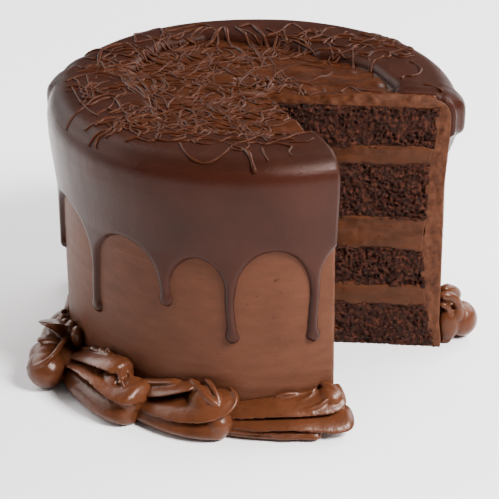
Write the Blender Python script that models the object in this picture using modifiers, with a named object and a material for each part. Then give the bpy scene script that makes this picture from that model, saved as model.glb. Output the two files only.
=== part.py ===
"""Round four-layer cake with a slice missing, iced, glazed and drizzled.

Metres, +Z up. The origin is on the cake's axis, on the plane it stands on. A bearing is an
angle in degrees round that axis: 0 at the front (-Y), growing towards the right (+X).
"""

import math
import random

import bmesh
import bpy
import numpy as np
from mathutils import Vector, noise

# Body of the cake
BODY_RADIUS = 0.105
COAT_TOP = 0.149
COAT_CEILING = 0.1445
FOOT_FLARE = 0.0012
TOP_FLARE = 0.0025
SHOULDER_START = 0.139
SHOULDER_INSET = 0.009
GAP = 0.0003
TURNED_STEPS = 40

# Layers, bottom and top of each: sponge discs with a band of filling between each two
SPONGE_HEIGHTS = ((0.0, 0.026), (0.037, 0.061), (0.078, 0.1115), (0.1205, 0.1442))
CORE_HEIGHTS = (0.0, 0.012, 0.026, 0.040, 0.061, 0.078, 0.1115, 0.1205, 0.1445)
CORE_RADII = (0.1020, 0.0995, 0.0965, 0.0955, 0.0935, 0.0950, 0.0960, 0.0980, 0.1003)

# Missing slice
CUT_TIP = (0.007, -0.008)
NEAR_CUT_BEARING = 22.8
FAR_CUT_BEARING = 78.8
CUT_REACH = 0.150
CUT_FLOOR = -0.006
CUT_HEIGHT = 0.172
CUT_CELL = 0.0060
CRUMB_DEPTH = 0.0013
CRUMB_SIZE = 0.0075

# Glaze: inner lip, crest, thickness on the wall, and the lower edge with its drips
LIP_BEARINGS = (-160, -106, -81, -52, 0, 40, 85, 107, 140, 160, 174)
LIP_RADII = (0.080, 0.070, 0.056, 0.065, 0.072, 0.074, 0.077, 0.069, 0.059, 0.063, 0.067)
CREST_RADIUS = 0.090
CREST_HEIGHT = 0.1538
LIP_HEIGHT = 0.1528
RIM_RADIUS = 0.100
RIM_HEIGHT = 0.1522
SHOULDER_RADIUS = 0.107
SHOULDER_HEIGHT = 0.1485
GLAZE_CLEARANCE = 0.0005
WALL_GLAZE = 0.0038
EDGE_GLAZE = 0.0024
EDGE_HEIGHT = 0.110
FAR_CUT_RISE = 0.021
DRIP_DROP = 0.034
DRIP_SPREAD = 5.0
DRIP_RADIUS = 0.0024
DRIP_SWELL = 0.0020
DRIPS = (
    (-82.5, 0.062), (-52.3, 0.048), (-26.0, 0.067), (-6.8, 0.050), (16.6, 0.049),
    (101.0, 0.071), (122.0, 0.052), (147.0, 0.070), (171.0, 0.058), (196.0, 0.047),
    (219.0, 0.073), (247.0, 0.055),
)
COLUMN_OFFSETS = (0.0, 2.2, 6.5)
WIDEST_COLUMN = 7.0

# Thick drizzle over the top
STRANDS = 18
STRAND_RADIUS = 0.0013
STRAND_END_RADIUS = 0.096
STRAND_STEP = 0.024
STRAND_SEED = 11

# Piped border: tail bearing, head bearing, reach beyond the wall, height
FRONT_SHELLS = (
    (-93.0, -57.0, 0.0335, 0.0290),
    (-66.0, -32.5, 0.0268, 0.0300),
    (-41.0, -6.0, 0.0205, 0.0285),
    (-14.0, 27.5, 0.0200, 0.0225),
)
BACK_SHELLS = 8
BACK_SHELL_REACH = 0.0245
BACK_SHELL_HEIGHT = 0.0270
CORNER_SHELL_HEIGHT = 0.0320
BACK_SHELLS_END = 266.0
SHELL_OVERLAP = 7.0
# How far the border stands out from the wall by bearing: it is drawn in thin at the two sides
SIDE_BEARINGS = (92.5, 93.5, 105, 110, 115, 121, 239, 245, 250, 255, 262, 267, 270)
SIDE_SHARES = (1.0, 0.25, 0.32, 0.50, 0.72, 1.0, 1.0, 0.72, 0.50, 0.32, 0.25, 0.25, 1.0)
SHELL_SEED = 4
SHELL_STATIONS = (0.0, 0.20, 0.42, 0.64, 0.80, 0.92, 0.985)
TAIL_SIZE = 0.66
HEAD_START = 0.66
FOLD_END = 0.9
SHELL_MIDDLE_HEIGHT = 0.46
SHELL_MIDDLE_REACH = 0.44
HEAD_GROWTH = 0.0005
SHELL_CLEARANCE = 0.0004
# One ring of a shell: angle up from straight outwards, and how far out that point lies;
# the points below FOLD_SCALE are the bottoms of the folds
FOLD_SCALE = 0.9
SHELL_RING = (
    (-90, 1.00), (-46, 1.12), (-16, 1.02), (-5, 0.62), (6, 1.00), (26, 1.12),
    (46, 1.00), (56, 0.66), (67, 0.98), (90, 1.04), (130, 1.00), (215, 1.00),
)

SPONGE_COLOUR = (0.026, 0.011, 0.007)
FILLING_COLOUR = (0.170, 0.062, 0.026)
COAT_COLOUR = (0.190, 0.082, 0.048)
GLAZE_COLOUR = (0.060, 0.018, 0.010)
BORDER_COLOUR = (0.130, 0.040, 0.016)


def clear_scene():
    for old in list(bpy.data.objects):
        bpy.data.objects.remove(old, do_unlink=True)


def new_collection(name, hidden=False):
    collection = bpy.data.collections.new(name)
    collection.hide_render = hidden
    bpy.context.scene.collection.children.link(collection)
    return collection


def new_material(name, colour, roughness):
    material = bpy.data.materials.new(name)
    material.use_nodes = True
    shader = material.node_tree.nodes["Principled BSDF"]
    shader.inputs["Base Color"].default_value = (*colour, 1.0)
    shader.inputs["Roughness"].default_value = roughness
    shader.inputs["Metallic"].default_value = 0.0
    material.diffuse_color = (*colour, 1.0)
    return material


def add_object(name, bm, collection, material=None):
    mesh = bpy.data.meshes.new(name)
    bmesh.ops.recalc_face_normals(bm, faces=bm.faces)
    bm.to_mesh(mesh)
    bm.free()
    mesh.shade_smooth()
    mesh.set_sharp_from_angle(angle=math.radians(40))
    made = bpy.data.objects.new(name, mesh)
    if material:
        mesh.materials.append(material)
    collection.objects.link(made)
    return made


def as_cutter(made):
    made.hide_render = True
    made.display_type = "WIRE"
    return made


def at_bearing(radius, bearing, z=0.0):
    turn = math.radians(bearing)
    return Vector((radius * math.sin(turn), -radius * math.cos(turn), z))


def ramp(value, start, end):
    return min(1.0, max(0.0, (value - start) / (end - start)))


def core_radius(z):
    return float(np.interp(z, CORE_HEIGHTS, CORE_RADII))


def coat_radius(z):
    """Outer wall of the coat: straight, flared a little at the foot and towards the top."""
    return BODY_RADIUS + FOOT_FLARE * ramp(z, 0.014, 0.004) + TOP_FLARE * ramp(z, 0.098, 0.132)


def apply_boolean(made, operation, solver, target=None, group=None):
    """Boolean of the object with one other object, or with a collection, applied."""
    modifier = made.modifiers.new("Boolean", "BOOLEAN")
    modifier.operation = operation
    modifier.solver = solver
    if group:
        modifier.operand_type = "COLLECTION"
        modifier.collection = group
    else:
        modifier.object = target
    graph = bpy.context.evaluated_depsgraph_get()
    mesh = bpy.data.meshes.new_from_object(made.evaluated_get(graph))
    made.modifiers.clear()
    old = made.data
    made.data = mesh
    bpy.data.meshes.remove(old)


def turned(name, profile, collection, material):
    """Closed solid of revolution from a profile that runs top to bottom down its outer side."""
    bm = bmesh.new()
    points = [bm.verts.new((r, 0.0, z)) for r, z in profile]
    for first, second in zip(points, points[1:]):
        bm.edges.new((first, second))
    made = add_object(name, bm, collection, material)
    screw = made.modifiers.new("Screw", "SCREW")
    screw.angle = math.tau
    screw.steps = TURNED_STEPS
    screw.render_steps = TURNED_STEPS
    screw.use_merge_vertices = True
    screw.merge_threshold = 0.00001
    return made


def cut_line(bearing):
    """Unit direction of a cut, from the slice's tip to its corner on the wall."""
    corner = at_bearing(BODY_RADIUS, bearing)
    return (corner - Vector((*CUT_TIP, 0.0))).normalized()


def slice_cutter(name, collection, cell, depth):
    """Wedge that removes the slice; with a depth, its two faces are broken up like crumb."""
    tip = Vector((*CUT_TIP, CUT_FLOOR))
    near, far = cut_line(NEAR_CUT_BEARING), cut_line(FAR_CUT_BEARING)
    count = round(CUT_REACH / cell)
    spans = [CUT_REACH * k / count for k in range(1, count + 1)]
    outline = [tip] + [tip + near * s for s in spans] + [tip + far * s for s in reversed(spans)]
    bm = bmesh.new()
    face = bm.faces.new([bm.verts.new(point) for point in outline])
    rows = round(CUT_HEIGHT / cell)
    for row in range(rows):
        below = face
        moved = bmesh.ops.extrude_face_region(bm, geom=[face])["geom"]
        face = next(item for item in moved if isinstance(item, bmesh.types.BMFace))
        if row:
            bmesh.ops.delete(bm, geom=[below], context="FACES_ONLY")
        raised = [item for item in moved if isinstance(item, bmesh.types.BMVert)]
        bmesh.ops.translate(bm, verts=raised, vec=(0.0, 0.0, CUT_HEIGHT / rows))
    if depth:
        break_up(bm, (near, far), depth)
    return as_cutter(add_object(name, bm, collection))


def break_up(bm, directions, depth):
    """Pushes the points of the two cut faces in and out by a noise of the crumb's size."""
    for vertex in bm.verts:
        flat = Vector((vertex.co.x - CUT_TIP[0], vertex.co.y - CUT_TIP[1], 0.0))
        if flat.length < 0.001:
            continue
        along = flat.normalized()
        line = max(directions, key=along.dot)
        side = Vector((line.y, -line.x, 0.0))
        vertex.co += side * depth * noise.noise(vertex.co / CRUMB_SIZE)


def layer(name, bottom, top, cutter, collection, material):
    """One disc of sponge or filling, turned from the core's radius, with the slice removed."""
    inner = [z for z in CORE_HEIGHTS if bottom + 0.001 < z < top - 0.001]
    heights = [top] + inner[::-1] + [bottom]
    profile = [(0.0, top)] + [(core_radius(z), z) for z in heights] + [(0.0, bottom)]
    made = turned(name, profile, collection, material)
    apply_boolean(made, "DIFFERENCE", "EXACT", cutter)


def coat(cutter, collection, material):
    """Cup of icing turned upside down over the layers: side wall, shoulder and top."""
    shoulder = coat_radius(SHOULDER_START)
    inside = [(core_radius(z) + GAP + 0.0001, z) for z in CORE_HEIGHTS]
    inside[-1] = (inside[-1][0], COAT_CEILING)
    profile = [
        (0.0, COAT_TOP),
        (shoulder - SHOULDER_INSET, COAT_TOP),
        (shoulder - 0.28 * SHOULDER_INSET, COAT_TOP - 0.28 * SHOULDER_INSET),
        (shoulder, SHOULDER_START),
        (coat_radius(0.132), 0.132),
        (coat_radius(0.098), 0.098),
        (coat_radius(0.014), 0.014),
        (coat_radius(0.004), 0.004),
        (coat_radius(0.004), 0.0),
        *inside,
        (0.0, COAT_CEILING),
    ]
    made = turned("buttercream_coat", profile, collection, material)
    apply_boolean(made, "DIFFERENCE", "EXACT", cutter)


def loft(name, rings, closed, collection, material=None):
    """Skin over a row of rings with equal counts; closed joins the last ring to the first."""
    bm = bmesh.new()
    rows = [[bm.verts.new(point) for point in ring] for ring in rings]
    pairs = list(zip(rows, rows[1:]))
    if closed:
        pairs.append((rows[-1], rows[0]))
    for first, second in pairs:
        for k in range(len(first)):
            after = (k + 1) % len(first)
            bm.faces.new((first[k], first[after], second[after], second[k]))
    if not closed:
        bm.faces.new(rows[0])
        bm.faces.new(rows[-1])
    bmesh.ops.triangulate(bm, faces=bm.faces, quad_method="FIXED", ngon_method="EAR_CLIP")
    return add_object(name, bm, collection, material)


def lip_radius(bearing):
    return float(np.interp(bearing, LIP_BEARINGS, LIP_RADII, period=360))


def bearing_between(first, second):
    return abs((first - second + 180) % 360 - 180)


def edge_height(bearing):
    """Lower edge of the glaze: arches between drips, each drip pulling it down to a cusp."""
    height = EDGE_HEIGHT + 0.002 * math.sin(math.radians(3 * bearing + 40))
    height += FAR_CUT_RISE * math.exp(-((bearing_between(bearing, FAR_CUT_BEARING) / 12) ** 2))
    for drip, _ in DRIPS:
        away = bearing_between(bearing, drip) / DRIP_SPREAD
        height -= DRIP_DROP * math.exp(-(away**0.85))
    return height


def drip_swell(bearing):
    """Extra thickness of the glaze where a drip starts."""
    away = min(bearing_between(bearing, drip) for drip, _ in DRIPS)
    return DRIP_SWELL * math.exp(-((away / 2.4) ** 2))


def glaze_top(radius, bearing):
    """Height of the glaze's upper side, from the inner lip over the crest to the shoulder."""
    lip = lip_radius(bearing)
    radii = (lip, lip + 0.004, CREST_RADIUS, RIM_RADIUS, SHOULDER_RADIUS)
    heights = (COAT_TOP, LIP_HEIGHT, CREST_HEIGHT, RIM_HEIGHT, SHOULDER_HEIGHT)
    return float(np.interp(radius, radii, heights))


def glaze_ring(bearing):
    """Section of the glaze at one bearing: lip, top, shoulder, wall, lower edge, and back."""
    lip = lip_radius(bearing)
    edge = edge_height(bearing)
    wall = coat_radius(SHOULDER_START) + WALL_GLAZE
    middle = (edge + 0.136) / 2
    behind = max(0.098, edge + 0.003)
    swell = drip_swell(bearing)
    section = [
        (lip, COAT_TOP + GAP),
        (lip + 0.0012, 0.1519),
        (lip + 0.0045, LIP_HEIGHT),
        (CREST_RADIUS, CREST_HEIGHT),
        (RIM_RADIUS, RIM_HEIGHT),
        (SHOULDER_RADIUS, SHOULDER_HEIGHT),
        (wall - 0.0003, 0.1410),
        (coat_radius(middle) + 0.0034, middle),
        (coat_radius(edge) + EDGE_GLAZE + swell, edge + 0.0026),
        (coat_radius(edge) + GLAZE_CLEARANCE, edge),
        (coat_radius(behind) + GLAZE_CLEARANCE, behind),
        (coat_radius(0.132) + GLAZE_CLEARANCE, max(0.1325, edge + 0.004)),
        (coat_radius(SHOULDER_START) + GLAZE_CLEARANCE, SHOULDER_START + 0.0002),
        (coat_radius(SHOULDER_START) - 0.0022, COAT_TOP - 0.0020),
        (coat_radius(SHOULDER_START) - SHOULDER_INSET + 0.0003, COAT_TOP + GAP),
    ]
    return [at_bearing(radius, bearing, z) for radius, z in section]


def glaze_bearings():
    """Columns of the glaze, close together at each drip and wide apart between drips."""
    places = set()
    for drip, _ in DRIPS:
        for offset in COLUMN_OFFSETS:
            places.add(round((drip + offset) % 360, 2))
            places.add(round((drip - offset) % 360, 2))
    ordered = sorted(places)
    spread = [p for p, before in zip(ordered, [-9.0] + ordered) if p - before > 0.9]
    columns = []
    for place, after in zip(spread, spread[1:] + [spread[0] + 360]):
        parts = math.ceil((after - place) / WIDEST_COLUMN)
        columns += [place + (after - place) * k / parts for k in range(parts)]
    return columns


def add_tube(name, points, radii, collection, sides=1):
    """Round tube with filled caps through the points, made a mesh so that it can be joined."""
    curve = bpy.data.curves.new(name, "CURVE")
    curve.dimensions = "3D"
    curve.bevel_depth = 1.0
    curve.bevel_resolution = sides
    curve.use_fill_caps = True
    spline = curve.splines.new("POLY")
    spline.points.add(len(points) - 1)
    for place, point, radius in zip(spline.points, points, radii):
        place.co = (*point, 1.0)
        place.radius = radius
    path = bpy.data.objects.new(name + "_path", curve)
    collection.objects.link(path)
    graph = bpy.context.evaluated_depsgraph_get()
    mesh = bpy.data.meshes.new_from_object(path.evaluated_get(graph))
    bm = bmesh.new()
    bm.from_mesh(mesh)
    bmesh.ops.remove_doubles(bm, verts=bm.verts, dist=0.00001)
    bpy.data.objects.remove(path, do_unlink=True)
    bpy.data.meshes.remove(mesh)
    bpy.data.curves.remove(curve)
    return add_object(name, bm, collection)


def add_drip(number, bearing, end, collection):
    """One drip: a run that thins a little and ends in a round bead, clear of the wall."""
    start = edge_height(bearing) + 0.012
    heights = [start, end + 0.62 * (start - end), end + 0.0072, end + 0.0040]
    heights += [end + 0.0012, end]
    widths = [DRIP_RADIUS * scale for scale in (0.45, 0.95, 0.95, 1.20, 0.85, 0.30)]
    out = BODY_RADIUS + GAP + 1.25 * DRIP_RADIUS
    points = [at_bearing(out, bearing, z) for z in heights]
    add_tube(f"drip_{number}", points, widths, collection)


def add_strand(number, draw, collection):
    """One thrown thread of glaze, bowed a little, with its ends in the ring."""
    heading = math.radians(draw.gauss(0, 42))
    along = Vector((math.cos(heading), math.sin(heading), 0.0))
    across = Vector((-along.y, along.x, 0.0))
    offset = draw.uniform(-0.86, 0.86) * STRAND_END_RADIUS
    half = math.sqrt(STRAND_END_RADIUS**2 - offset**2)
    bow = draw.uniform(-0.011, 0.011)
    lift = draw.uniform(0.0, 0.0007)
    thick = STRAND_RADIUS * draw.uniform(0.85, 1.1)
    count = max(3, round(2 * half / STRAND_STEP))
    points = []
    for k in range(count + 1):
        s = 2 * k / count - 1
        flat = along * half * s + across * (offset + bow * (1 - s * s))
        bearing = math.degrees(math.atan2(flat.x, -flat.y))
        on_end = k in (0, count)
        on_ring = glaze_top(flat.length, bearing) + (0.0 if on_end else 1.1 * thick)
        over_coat = COAT_TOP + GAP + 1.1 * thick
        points.append(Vector((flat.x, flat.y, max(on_ring, over_coat) + lift * (not on_end))))
    widths = [0.5 * thick] + [thick] * (len(points) - 2) + [0.5 * thick]
    add_tube(f"strand_{number}", points, widths, collection, sides=0)


def keep_largest(made):
    """Drops loose scraps: only the body with the most points stays."""
    bm = bmesh.new()
    bm.from_mesh(made.data)
    bm.verts.ensure_lookup_table()
    groups = []
    seen = set()
    for start in bm.verts:
        if start in seen:
            continue
        group = {start}
        edge = [start]
        while edge:
            vertex = edge.pop()
            for link in vertex.link_edges:
                other = link.other_vert(vertex)
                if other not in group:
                    group.add(other)
                    edge.append(other)
        seen |= group
        groups.append(group)
    largest = max(groups, key=len)
    bmesh.ops.delete(bm, geom=[v for v in bm.verts if v not in largest], context="VERTS")
    bm.to_mesh(made.data)
    bm.free()


def glaze(cutter, collection, material):
    """Glaze ring with its drips and thick drizzle fused to it, and the slice removed."""
    rings = [glaze_ring(bearing) for bearing in glaze_bearings()]
    made = loft("glaze", rings, True, collection, material)
    pieces = new_collection("glaze_pieces")
    for number, (bearing, end) in enumerate(DRIPS, 1):
        add_drip(number, bearing, end, pieces)
    draw = random.Random(STRAND_SEED)
    for number in range(1, STRANDS + 1):
        add_strand(number, draw, pieces)
    apply_boolean(made, "UNION", "MANIFOLD", group=pieces)
    for piece in list(pieces.objects):
        bpy.data.objects.remove(piece, do_unlink=True)
    bpy.data.collections.remove(pieces)
    apply_boolean(made, "DIFFERENCE", "MANIFOLD", cutter)
    keep_largest(made)
    made.data.shade_smooth()
    made.data.set_sharp_from_angle(angle=math.radians(40))


def shell_envelope(t):
    """Size of a shell's section along it: thin tail, full body, rounded head."""
    if t < HEAD_START:
        return TAIL_SIZE + (1 - TAIL_SIZE) * math.sin(0.5 * math.pi * t / HEAD_START)
    return max(0.0, 1 - ((t - HEAD_START) / (1 - HEAD_START)) ** 2.4) ** 0.45


def shell_rings(shell, grow):
    """Rings of one shell: lobes over each other with folds between them, flat underneath.
    Grown rings make the cutter for the next shell: a little larger and longer."""
    tail, head, reach, height = shell
    rings = []
    for t in SHELL_STATIONS:
        bearing = tail + (head - tail) * t + math.degrees(0.5 * grow / BODY_RADIUS)
        size = shell_envelope(t)
        share = float(np.interp(bearing % 360, SIDE_BEARINGS, SIDE_SHARES))
        fold = math.sin(math.pi * min(1.0, 0.25 + 0.75 * t / FOLD_END)) if t < FOLD_END else 0.0
        rise = height * (0.5 + 0.5 * share)
        middle_z = SHELL_MIDDLE_HEIGHT * rise * (0.45 + 0.55 * size)
        middle_r = BODY_RADIUS + SHELL_MIDDLE_REACH * reach * share * (0.6 + 0.4 * size)
        wide = (1 - SHELL_MIDDLE_REACH) * reach * share * size
        tall = (1 - SHELL_MIDDLE_HEIGHT) * rise * size
        ring = []
        for angle, scale in SHELL_RING:
            turn = math.radians(angle)
            if scale < FOLD_SCALE:
                scale = 1.0 - (1.0 - scale) * fold
            radius = middle_r + (wide * scale + grow) * math.cos(turn)
            z = middle_z + (tall * scale + grow) * math.sin(turn)
            if grow:
                z = z if z > 0.001 else -0.002
                inner = coat_radius(max(z, 0.0)) - 0.003
            else:
                z = max(z, 0.0)
                inner = coat_radius(z) + SHELL_CLEARANCE
            ring.append(at_bearing(max(inner, radius), bearing, z))
        rings.append(ring)
    return rings


def all_shells():
    """Every shell of the border, in the order they lie, from the far cut round to the near."""
    draw = random.Random(SHELL_SEED)
    start = FAR_CUT_BEARING - 9.0
    step = (BACK_SHELLS_END - start) / BACK_SHELLS
    shells = []
    for k in range(BACK_SHELLS):
        reach = BACK_SHELL_REACH * draw.uniform(0.92, 1.12)
        height = BACK_SHELL_HEIGHT * draw.uniform(0.92, 1.10)
        tail = start + k * step - (SHELL_OVERLAP if k else 0.0)
        head = start + (k + 1) * step
        shells.append((tail, head, reach, height if k else CORNER_SHELL_HEIGHT))
    return shells + list(FRONT_SHELLS)


def border(cutter, cutters, collection, material):
    """Piped shells: each head lies over the next shell's tail, which is cut to fit it."""
    before = None
    for number, shell in enumerate(all_shells(), 1):
        made = loft(f"shell_{number:02d}", shell_rings(shell, 0.0), False, collection, material)
        if before:
            apply_boolean(made, "DIFFERENCE", "MANIFOLD", before)
            keep_largest(made)
        else:
            apply_boolean(made, "DIFFERENCE", "EXACT", cutter)
        grown = loft(f"head_{number:02d}", shell_rings(shell, HEAD_GROWTH), False, cutters)
        before = as_cutter(grown)


def build():
    clear_scene()
    cake = new_collection("cake")
    cutters = new_collection("cutters", hidden=True)
    plain = slice_cutter("slice", cutters, CUT_REACH, 0.0)
    crumb = slice_cutter("slice_in_crumb", cutters, CUT_CELL, CRUMB_DEPTH)
    sponge = new_material("sponge", SPONGE_COLOUR, 0.85)
    filling = new_material("filling", FILLING_COLOUR, 0.45)
    for number, (bottom, top) in enumerate(SPONGE_HEIGHTS, 1):
        layer(f"sponge_{number}", bottom, top, crumb, cake, sponge)
    bands = zip(SPONGE_HEIGHTS, SPONGE_HEIGHTS[1:])
    for number, (below, above) in enumerate(bands, 1):
        layer(f"filling_{number}", below[1] + GAP, above[0] - GAP, plain, cake, filling)
    coat(plain, cake, new_material("buttercream", COAT_COLOUR, 0.5))
    glaze(plain, cake, new_material("glaze", GLAZE_COLOUR, 0.25))
    border(plain, cutters, cake, new_material("border", BORDER_COLOUR, 0.3))


build()
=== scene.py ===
import math

import bmesh
import bpy
import numpy as np
from mathutils import Matrix, Vector


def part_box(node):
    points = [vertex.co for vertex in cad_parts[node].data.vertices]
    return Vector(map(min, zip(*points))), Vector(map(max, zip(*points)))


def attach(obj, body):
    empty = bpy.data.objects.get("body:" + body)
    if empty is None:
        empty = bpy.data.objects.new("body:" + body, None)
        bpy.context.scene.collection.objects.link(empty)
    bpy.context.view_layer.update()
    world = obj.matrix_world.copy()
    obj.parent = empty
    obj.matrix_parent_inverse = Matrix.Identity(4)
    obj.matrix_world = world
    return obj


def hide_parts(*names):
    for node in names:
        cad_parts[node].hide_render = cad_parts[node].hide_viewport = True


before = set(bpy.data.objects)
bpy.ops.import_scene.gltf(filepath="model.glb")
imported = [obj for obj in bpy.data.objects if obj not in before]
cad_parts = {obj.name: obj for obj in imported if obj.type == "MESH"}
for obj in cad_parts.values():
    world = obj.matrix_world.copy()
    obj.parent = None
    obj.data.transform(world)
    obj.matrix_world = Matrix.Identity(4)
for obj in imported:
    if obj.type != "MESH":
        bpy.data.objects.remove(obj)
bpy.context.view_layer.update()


# Sponge layers
# Four discs of dark, moist chocolate sponge, sliced through on two sides by the cake knife.
# The cut faces are open crumb: small pits, ridges and torn edges over the whole layer.
slice_tip = np.array((0.007, -0.008))
cut_corner_radius = 0.105
near_cut = math.radians(22.8)
far_cut = math.radians(78.8)


def cut_turn(corner):
    """Direction of a cut as an angle from the front: from the slice's tip to its corner on the wall."""
    way = cut_corner_radius * np.array((math.sin(corner), -math.cos(corner))) - slice_tip
    return math.atan2(way[0], -way[1])


far_turn = cut_turn(far_cut)
near_turn = cut_turn(near_cut) + math.tau


def plan_point(radius, turn):
    """Plan position where the ray from the slice's tip at angle turn meets the circle of this
    radius round the cake's axis: tip + (sqrt(a^2 + r^2 - tip^2) - a) * way, a = way . tip."""
    radius, turn = np.broadcast_arrays(radius, turn)
    way = np.stack((np.sin(turn), -np.cos(turn)), -1)
    along = way @ slice_tip
    reach = np.sqrt(along**2 + radius**2 - slice_tip @ slice_tip) - along
    return slice_tip + reach[..., None] * way


def lattice_value(cell, seed):
    """A fixed random number from 0 to 1 for each lattice cell, by mixing its integer x, y, z."""
    mixed = cell[..., 0] * 73856093 ^ cell[..., 1] * 19349663 ^ cell[..., 2] * 83492791
    mixed = (mixed + seed * 2654435761) & 0xFFFFFFFF
    mixed = ((mixed ^ (mixed >> 15)) * 2246822519) & 0xFFFFFFFF
    mixed = ((mixed ^ (mixed >> 13)) * 3266489917) & 0xFFFFFFFF
    return (mixed ^ (mixed >> 16)) / 0xFFFFFFFF


def ripple(points, size, seed=0):
    """Smooth noise from -1 to 1: lattice values at cell corners, blended by 3t^2 - 2t^3."""
    scaled = points / np.asarray(size)
    base = np.floor(scaled).astype(np.int64)
    part = scaled - base
    part = part * part * (3 - 2 * part)
    total = 0.0
    for corner in np.ndindex(2, 2, 2):
        near = np.where(np.array(corner) == 1, part, 1 - part)
        total = total + lattice_value(base + np.array(corner), seed) * near.prod(-1)
    return 2 * total - 1


def nearest_seed(points, size, seed=0):
    """Distance, in cells, to the nearest of the random points that lie one to a lattice cell."""
    scaled = points / size
    base = np.floor(scaled).astype(np.int64)
    best = np.full(points.shape[:-1], 9.0)
    for step in np.ndindex(3, 3, 3):
        cell = base + np.array(step) - 1
        centre = np.stack([lattice_value(cell, seed + k) for k in range(3)], -1) + cell
        best = np.minimum(best, np.linalg.norm(scaled - centre, axis=-1))
    return best


def add_mesh(name, points, faces, material):
    """Mesh object from an array of points and a list of faces, shaded smooth."""
    mesh = bpy.data.meshes.new(name)
    mesh.from_pydata(points.tolist(), [], faces)
    mesh.materials.append(material)
    mesh.shade_smooth()
    made = bpy.data.objects.new(name, mesh)
    bpy.context.scene.collection.objects.link(made)
    return made


def grid_faces(rows, columns, wrap=False):
    """Quads over a grid of points stored row by row; wrap joins the last column to the first."""
    count = columns if wrap else columns - 1
    row, column = np.meshgrid(np.arange(rows - 1), np.arange(count), indexing="ij")
    after = (column + 1) % columns
    quads = (row * columns + column, row * columns + after)
    quads += ((row + 1) * columns + after, (row + 1) * columns + column)
    return np.stack(quads, -1).reshape(-1, 4)


core_heights = (0.0, 0.012, 0.026, 0.040, 0.061, 0.078, 0.1115, 0.1205, 0.1445)
core_radii = (0.1020, 0.0995, 0.0965, 0.0955, 0.0935, 0.0950, 0.0960, 0.0980, 0.1003)


def disc_outline(spacing):
    """Outline of a cut disc as (kind, share) pairs: out along the far cut, round, and back."""
    along = round(0.098 / spacing)
    share = np.linspace(0, 1, along)
    far = np.stack((np.full(along, 0.0), share), -1)
    wall = np.stack((np.full(70, 1.0), np.linspace(0, 1, 72)[1:-1]), -1)
    near = np.stack((np.full(along - 1, 2.0), share[:0:-1]), -1)
    return np.concatenate((far, wall, near))


def with_height(plan, z):
    """Points from plan positions and their heights, given one by one or one for each row."""
    return np.concatenate((plan, np.broadcast_to(z, plan.shape[:-1])[..., None]), -1)


def disc_points(outline, heights, swell):
    """Rows of the outline at each height. On a cut a point lies at its share of the way from the
    slice's tip to the core's wall; round the wall it lies at its share of the turn."""
    kind, share = outline[:, 0], outline[:, 1]
    radius = np.interp(heights, core_heights, core_radii)[:, None] + swell
    turn = np.where(kind == 0, far_turn, near_turn)
    turn = np.where(kind == 1, far_turn + share * (near_turn - far_turn), turn)
    edge = plan_point(radius, turn[None, :])
    reach = np.where(kind == 1, 1.0, share)[None, :, None]
    plan = slice_tip + (edge - slice_tip) * reach
    return with_height(plan, heights[:, None])


far_normal = np.array((-math.cos(far_turn), -math.sin(far_turn), 0.0))
near_normal = np.array((math.cos(near_turn), math.sin(near_turn), 0.0))


def cut_normal(outline):
    """Unit vector out of each cut face into the missing slice, and zero round the wall."""
    kind = outline[:, :1]
    return np.where(kind == 0, far_normal, np.where(kind == 2, near_normal, 0.0))


def capped_faces(rows, columns):
    """Faces over rows of one closed ring: quads between the rows, and a face over each end."""
    faces = grid_faces(rows, columns, wrap=True).tolist()
    faces.append(list(range(columns))[::-1])
    faces.append([(rows - 1) * columns + k for k in range(columns)])
    return faces


def closed_disc(name, points, material):
    """Solid from rows of one closed outline, with a flat face over the lowest and highest row."""
    made = add_mesh(name, points.reshape(-1, 3), capped_faces(*points.shape[:2]), material)
    mended = bmesh.new()
    mended.from_mesh(made.data)
    bmesh.ops.recalc_face_normals(mended, faces=mended.faces)
    mended.to_mesh(made.data)
    mended.free()
    return made


def node(tree, kind, **values):
    """New shader node with its settings, then its inputs by name."""
    made = tree.nodes.new(kind)
    for name, value in values.items():
        if hasattr(made, name):
            setattr(made, name, value)
        else:
            made.inputs[name.replace("_", " ")].default_value = value
    return made


def new_finish(name, roughness, specular=0.5):
    """Material with a Principled shader; returns it with its node tree and that shader."""
    material = bpy.data.materials.new(name)
    material.use_nodes = True
    tree = material.node_tree
    shader = tree.nodes["Principled BSDF"]
    shader.inputs["Roughness"].default_value = roughness
    shader.inputs["Specular IOR Level"].default_value = specular
    shader.inputs["Specular Tint"].default_value = (1.0, 0.80, 0.72, 1.0)
    return material, tree, shader


def noise_pattern(tree, scale, detail=4.0, roughness=0.55, stretch=(1.0, 1.0, 1.0)):
    """Noise on Object coordinates, scaled by stretch along x, y and z, in cells a metre."""
    place = node(tree, "ShaderNodeTexCoord")
    mapping = node(tree, "ShaderNodeMapping", Scale=stretch)
    tree.links.new(place.outputs["Object"], mapping.inputs["Vector"])
    noise = node(tree, "ShaderNodeTexNoise", Scale=scale, Detail=detail, Roughness=roughness)
    tree.links.new(mapping.outputs["Vector"], noise.inputs["Vector"])
    return noise.outputs["Fac"]


def colour_ramp(tree, value, stops):
    """Colour by a value from 0 to 1, blended between (position, colour) stops."""
    ramp = node(tree, "ShaderNodeValToRGB")
    ramp.color_ramp.elements[0].position = stops[0][0]
    ramp.color_ramp.elements[0].color = (*stops[0][1], 1.0)
    ramp.color_ramp.elements[1].position = stops[-1][0]
    ramp.color_ramp.elements[1].color = (*stops[-1][1], 1.0)
    for position, colour in stops[1:-1]:
        ramp.color_ramp.elements.new(position).color = (*colour, 1.0)
    tree.links.new(value, ramp.inputs["Fac"])
    return ramp.outputs["Color"]


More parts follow.
